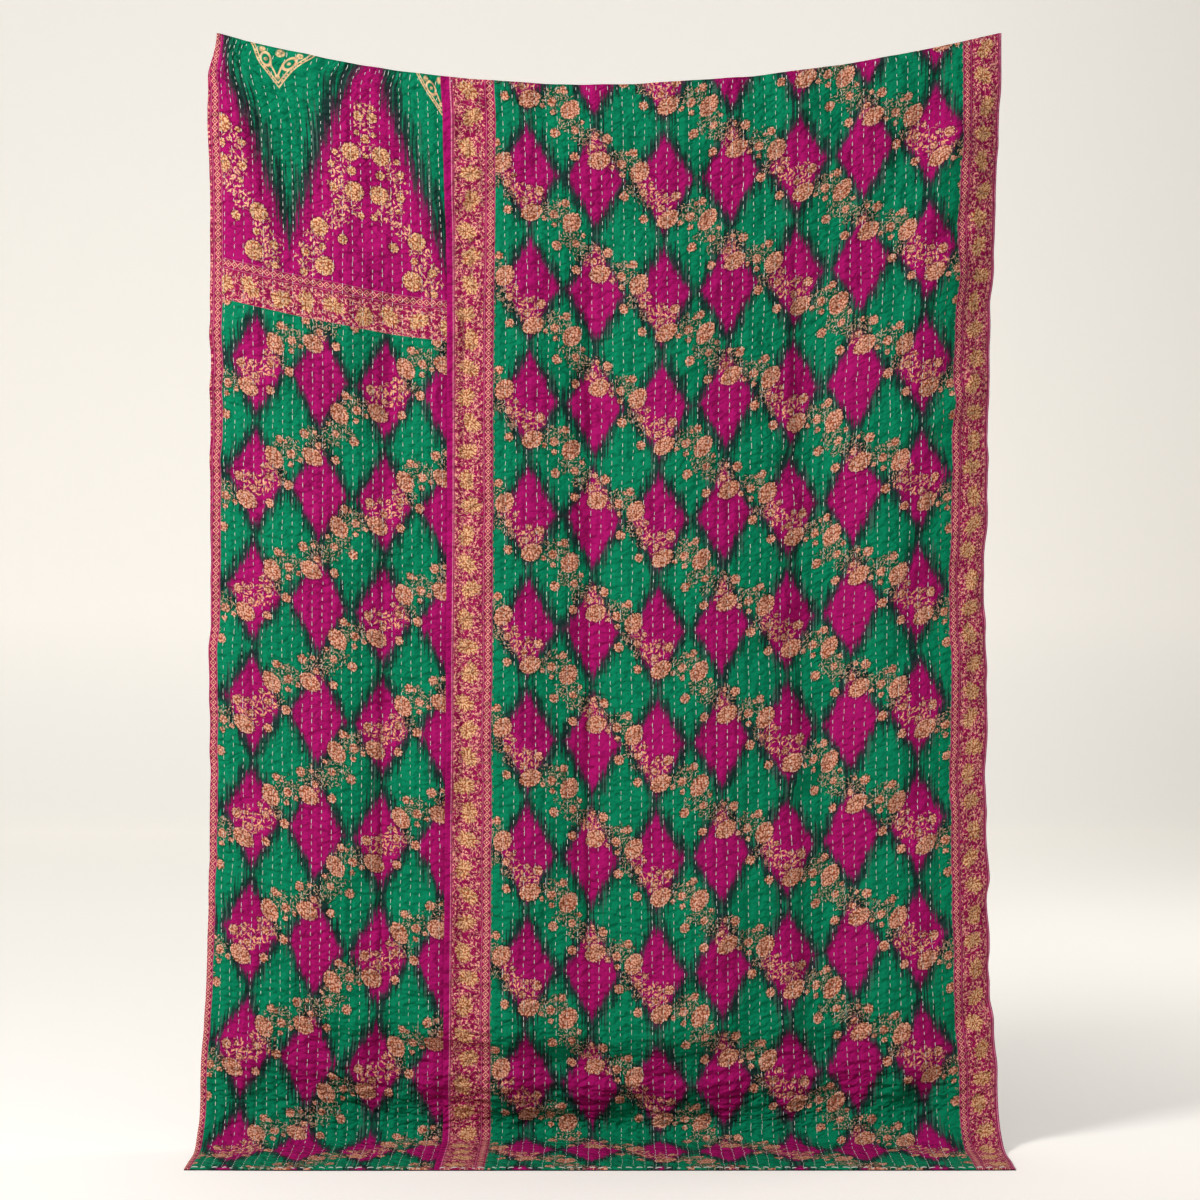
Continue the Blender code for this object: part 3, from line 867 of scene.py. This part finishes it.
# The side border is turned in further and further down the cloth, until only its dotted band shows
turned_in = np.interp(
    down, [0.0, 0.10, 0.42, 0.68, 0.89, 1.40, 1.90], [47.0, 39.6, 38.8, 39.7, 42.0, 44.0, 46.5])
narrow_charts = {
    "print": pairs(field_u, field_v),
    "border": pairs(share * LEFT_WIDTH + turned_in, down / CHART_SQUARE + drift_v),
    "sewing": sewing_chart(share, down, LEFT_ROWS, left_phases),
}
left_cloth, left_face = cloth_shell(
    "left_printed_cloth", across, down, RIB_HEIGHT * ribs(LEFT_ROWS, share), narrow_charts, (2, 2))
left_cloth.data.materials.append(narrow_print())
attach(left_cloth, "root")
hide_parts("left_panel")

# ------------------------------------------------------------------------------
# The backing cloth. A plain dark cotton, cut as large as both printed cloths together and quilted to them,
# with its edges turned in under the hem.
BEHIND_RIB_HEIGHT = 0.0006
share_left, down_left = np.meshgrid(rib_places(LEFT_ROWS, RIB_FACES_BEHIND), FACE_DOWNS)
share_right, down_right = np.meshgrid(rib_places(RIGHT_ROWS, RIB_FACES_BEHIND)[1:], FACE_DOWNS)
across = np.concatenate([place_across("left", share_left, down_left),
                         place_across("right", share_right, down_right)], axis=1)
down = np.concatenate([down_left, down_right], axis=1)
rib = np.concatenate([ribs(LEFT_ROWS, share_left), ribs(RIGHT_ROWS, share_right)], axis=1)
rows_across = np.concatenate([share_left * LEFT_ROWS, LEFT_ROWS + share_right * RIGHT_ROWS], axis=1)
plain_charts = {
    "print": pairs(across / CHART_SQUARE, down / CHART_SQUARE),
    "sewing": pairs(rows_across - 0.5, down / STITCH_PITCH),
}
backing_cloth, behind_face = cloth_shell(
    "backing_cloth_behind", across, down, BEHIND_RIB_HEIGHT * rib, plain_charts, (2, 1), turned_over=True)
plain = new_finish("plain_dark_cotton")
woven_finish(plain, dye(52, 40, 54), 0.85)
backing_cloth.data.materials.append(plain.material)
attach(backing_cloth, "root")
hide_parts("backing_cloth")

# ------------------------------------------------------------------------------
# The stitches. Short lengths of off-white cotton thread, in rows through all the layers of both printed
# cloths and out at the back, rose along the borders, thicker along the foot hem and crosswise over the upper
# hem. Each is a bump of thread that dips into the cloth at both of its ends.
STITCH_LENGTH, SHORTEST, LONGEST = 0.0076, 0.004, 0.0105
HEM_PITCH, TOP_PITCH, TOP_LENGTH = 0.0165, 0.0185, 0.010


def stitch_tree(name):
    """Lays a short arched thread on each point."""
    tree = bpy.data.node_groups.new(name, "GeometryNodeTree")
    side = tree.interface.new_socket
    side(name="Points", in_out="INPUT", socket_type="NodeSocketGeometry")
    for measure in ("Thread radius", "Rise", "Dip"):
        side(name=measure, in_out="INPUT", socket_type="NodeSocketFloat")
    side(name="Thread", in_out="INPUT", socket_type="NodeSocketMaterial")
    side(name="Stitches", in_out="OUTPUT", socket_type="NodeSocketGeometry")
    loom = Loom(tree)
    inputs = tree.nodes.new("NodeGroupInput").outputs
    points, radius, rise, dip, material = (Wire(loom, inputs[i]) for i in range(5))

    def named(attribute):
        settings = {"data_type": "FLOAT_VECTOR"}
        return loom.node("GeometryNodeInputNamedAttribute", settings, {"Name": attribute})

    arch = loom.node("GeometryNodeCurveQuadraticBezier", {}, {
        "Resolution": 3, "Start": loom.place(-0.5, 0.0, dip * -1.0), "Middle": loom.place(0.0, 0.0, rise),
        "End": loom.place(0.5, 0.0, dip * -1.0)})
    round_thread = loom.node("GeometryNodeCurvePrimitiveCircle", {}, {"Resolution": 3, "Radius": radius})
    thread = loom.node("GeometryNodeCurveToMesh", {}, {"Curve": arch, "Profile Curve": round_thread})
    turned = loom.node("FunctionNodeAxesToRotation", {"primary_axis": "Z", "secondary_axis": "X"},
                       {0: named("out"), 1: named("along")})
    placed = loom.node("GeometryNodeInstanceOnPoints", {}, {
        "Points": points, "Instance": thread, "Rotation": turned, "Scale": named("size")})
    real = loom.node("GeometryNodeRealizeInstances", {}, {"Geometry": placed})
    dressed = loom.node("GeometryNodeSetMaterial", {}, {"Geometry": real, "Material": material})
    loom.plug(tree.nodes.new("NodeGroupOutput"), {0: dressed})
    return tree


def thread_material(name, colour, twist):
    """Matt cotton thread, in the colour of its fibres and of the shade between its plies."""
    loom = new_finish(name)
    fibres = {"Vector": loom.object_place(), "Scale": 260.0, "Detail": 2.0}
    fuzz = loom.node("ShaderNodeTexNoise", {}, fibres)
    normal = loom.node("ShaderNodeBump", {}, {"Height": fuzz, "Strength": 0.5, "Distance": 0.0004})
    loom.plug(loom.shader, {
        "Base Color": loom.mix(fuzz, colour, twist), "Normal": normal, "Roughness": 0.7,
        "Specular IOR Level": 0.3})
    return loom.material


def sew(name, stitches, thread):
    """Points with their directions and sizes, made into threads by the stitch tree."""
    places, along, out, size = stitches
    mesh = bpy.data.meshes.new(name + "_points")
    mesh.from_pydata(places.tolist(), [], [])
    for key, values in (("along", along), ("out", out), ("size", size)):
        layer = mesh.attributes.new(key, "FLOAT_VECTOR", "POINT")
        layer.data.foreach_set("vector", values.astype(np.float32).ravel())
    seeds = add_object(name + "_points", mesh)
    modifier = seeds.modifiers.new("stitches", "NODES")
    modifier.node_group = STITCH_TREE
    ids = [item.identifier for item in STITCH_TREE.interface.items_tree if item.in_out == "INPUT"]
    for identifier, value in zip(ids[1:], thread):
        modifier[identifier] = value
    graph = bpy.context.evaluated_depsgraph_get()
    threads = bpy.data.meshes.new_from_object(seeds.evaluated_get(graph))
    bpy.data.objects.remove(seeds)
    threads.shade_smooth()
    sewn = add_object(name, threads)
    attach(sewn, "root")
    return sewn


def row_stitches(face, rows, phases, seed, behind=False, rows_before=0):
    """Where the running stitches of the given rows lie on one cloth, and how each is turned and sized."""
    steps, start, sign = (RIB_FACES_BEHIND, 1.0, -1.0) if behind else (RIB_FACES, 0.5, 1.0)
    random = np.random.default_rng(seed)
    columns, depths, lengths, heights = [], [], [], []
    for row in rows:
        count = int(QUILT_LENGTH / STITCH_PITCH - 1)
        centre = np.arange(count) + start + phases[row] + random.normal(0.0, 0.10, count)
        centre = centre * STITCH_PITCH
        centre = centre[(centre > 0.008) & (centre < QUILT_LENGTH - 0.008)]
        count = len(centre)
        columns.append((rows_before + row + 0.5) * steps + random.normal(0.0, 0.10, count))
        depths.append(np.interp(centre, FACE_DOWNS, np.arange(len(FACE_DOWNS))))
        lengths.append(np.clip(random.normal(STITCH_LENGTH, 0.0014, count), SHORTEST, LONGEST))
        heights.append(random.uniform(0.75, 1.0, count))
    column, depth = np.concatenate(columns), np.concatenate(depths)
    along = unit(between(face, depth + 0.6, column) - between(face, depth - 0.6, column))
    out = between(facing_of(face), depth, column) * sign
    height = np.concatenate(heights)
    size = np.stack([np.concatenate(lengths), height, height], axis=-1)
    return between(face, depth, column), along, out, size


def hem_stitches(face, step, depth, seed, across_hem=False):
    """Stitches that follow a hem, or cross it, in one row of the cloth's faces."""
    random = np.random.default_rng(seed)
    depth = depth % len(face)
    widths = np.linalg.norm(np.diff(face[depth], axis=0), axis=-1)
    travelled = np.concatenate([[0.0], np.cumsum(widths)])
    centre = np.arange(step, travelled[-1] - step, step)
    centre = centre + random.normal(0.0, step * 0.12, len(centre))
    column = np.interp(centre, travelled, np.arange(len(travelled)))
    row = np.full(len(column), float(depth))
    aside = between(face, row, column + 0.5) - between(face, row, column - 0.5)
    out = between(facing_of(face), row, column)
    along = unit(np.cross(aside, out) if across_hem else aside)
    lengths = random.uniform(0.40, 0.75, len(column)) * (TOP_LENGTH if across_hem else step)
    size = np.stack([lengths, np.ones_like(lengths), np.ones_like(lengths)], axis=-1)
    return between(face, row, column), along, out, size


STITCH_TREE = stitch_tree("running_stitches")
white_thread = thread_material("off_white_cotton_thread", dye(246, 247, 238), dye(200, 208, 194))
rose_thread = thread_material("rose_cotton_thread", dye(232, 176, 160), dye(196, 120, 120))

# Each thread's radius, its rise over the cloth, its dip into it, and its material
FIELD_THREAD = (0.00056, 0.0016, 0.0005, white_thread)
BORDER_THREAD = (0.00042, 0.0014, 0.0005, rose_thread)
BEHIND_THREAD = (0.00050, 0.0016, 0.0005, white_thread)
HEM_THREAD = (0.0010, 0.0014, 0.0003, white_thread)
TOP_THREAD = (0.0005, 0.0014, 0.0003, white_thread)

field_rows, border_rows = range(5, 46), [*range(1, 5), *range(46, RIGHT_ROWS)]
right_sewn = [
    sew("right_running_stitches", row_stitches(right_face, field_rows, right_phases, 31), FIELD_THREAD),
    sew("right_border_stitches", row_stitches(right_face, border_rows, right_phases, 33), BORDER_THREAD),
    sew("right_hem_stitches", hem_stitches(right_face, HEM_PITCH, -2, 41), HEM_THREAD),
    sew("right_top_stitches", hem_stitches(right_face, TOP_PITCH, 1, 43, across_hem=True), TOP_THREAD),
]
all_left, all_right = range(1, LEFT_ROWS), range(1, RIGHT_ROWS)
left_sewn = [
    sew("left_running_stitches", row_stitches(left_face, all_left, left_phases, 32), FIELD_THREAD),
    sew("left_hem_stitches", hem_stitches(left_face, HEM_PITCH, -2, 42), HEM_THREAD),
    sew("left_top_stitches", hem_stitches(left_face, TOP_PITCH, 1, 44, across_hem=True), TOP_THREAD),
]
right_behind = row_stitches(behind_face, all_right, right_phases, 35, behind=True, rows_before=LEFT_ROWS)
left_behind = row_stitches(behind_face, all_left, left_phases, 36, behind=True)
behind_sewn = [
    sew("right_stitches_behind", right_behind, BEHIND_THREAD),
    sew("left_stitches_behind", left_behind, BEHIND_THREAD),
]

# ------------------------------------------------------------------------------
# The studio. A floor of pale matt paper that sweeps up into a wall far behind, soft daylight from the left
# with weaker lights from the front and on the floor behind, and a camera as high as the quilt's middle. The
# paper's faint glow stands for the light that a pale room throws back.
FLOOR_Z = -FLOOR_DROP - CLOTH_GAP / 2 - CLOTH_THICKNESS
SWEEP_FROM, SWEEP_RADIUS = 5.4, 0.8
FLOOR_FRONT, WALL_TOP, WALL_HALF_WIDTH = -6.0, 5.0, 9.0
sweep_line = [(FLOOR_FRONT, FLOOR_Z)]
for turn in np.linspace(0, math.pi / 2, 17):
    rise = SWEEP_RADIUS * (1 - math.cos(turn))
    sweep_line.append((SWEEP_FROM + SWEEP_RADIUS * math.sin(turn), FLOOR_Z + rise))
sweep_line.append((SWEEP_FROM + SWEEP_RADIUS, WALL_TOP))
sweep_mesh = bpy.data.meshes.new("studio_sweep")
sweep_mesh.from_pydata([(x, y, z) for y, z in sweep_line for x in (-WALL_HALF_WIDTH, WALL_HALF_WIDTH)], [],
                       [(2 * i, 2 * i + 1, 2 * i + 3, 2 * i + 2) for i in range(len(sweep_line) - 1)])
sweep_mesh.shade_smooth()
sweep = add_object("studio_sweep", sweep_mesh)
paper = new_finish("studio_paper")
paper_x, paper_y = paper.parts(paper.object_place())[:2]
# Painted light: the paper glows more from about 0.3 m behind the quilt onward and up the wall. Right of about
# x = 1.9 m that glow is cut back, which paints shade on the wall there.
painted_glow_share = (1 - inside(paper_y, 1.7, 1.4)) * (0.2 + 0.8 * inside(paper_x, 1.9, 0.6))
paper.plug(paper.shader, {
    "Base Color": dye(245, 241, 234), "Roughness": 0.9, "Emission Strength": 1.0,
    "Emission Color": paper.mix(painted_glow_share, dye(122, 120, 116), dye(150, 148, 143))})
sweep_mesh.materials.append(paper.material)


def soft_light(name, place, aim, size, power, colour):
    lamp = bpy.data.lights.new(name, "AREA")
    lamp.shape, lamp.size, lamp.energy, lamp.color = "DISK", size, power, colour
    held = add_object(name, lamp)
    held.location = place
    held.rotation_euler = (Vector(aim) - Vector(place)).to_track_quat("-Z", "Y").to_euler()


soft_light("window_light", (-3.2, -2.45, 1.7), (0.0, 0.0, -0.7), 1.6, 190.0, (1.0, 0.98, 0.99))
soft_light("fill_light", (-0.4, -5.0, 0.4), (0.0, 0.0, -0.9), 3.0, 18.0, (0.98, 0.98, 1.0))
soft_light("floor_light", (3.2, 1.6, 0.2), (1.0, 0.4, -1.8), 1.4, 34.0, (1.0, 0.98, 0.96))
world = bpy.data.worlds.new("studio_air")
world.use_nodes = True
world.node_tree.nodes["Background"].inputs["Color"].default_value = (0.98, 0.98, 1.0, 1.0)
world.node_tree.nodes["Background"].inputs["Strength"].default_value = 0.29
bpy.context.scene.world = world

lens = bpy.data.cameras.new("camera")
lens.lens, lens.sensor_width, lens.shift_y = 80.2, 36.0, -0.03
camera = add_object("camera", lens)
camera.location = (-0.0155, -4.6, -0.825)
camera.rotation_euler = (math.pi / 2, 0.0, 0.0)
bpy.context.scene.camera = camera
bpy.context.scene.view_settings.view_transform = "Standard"
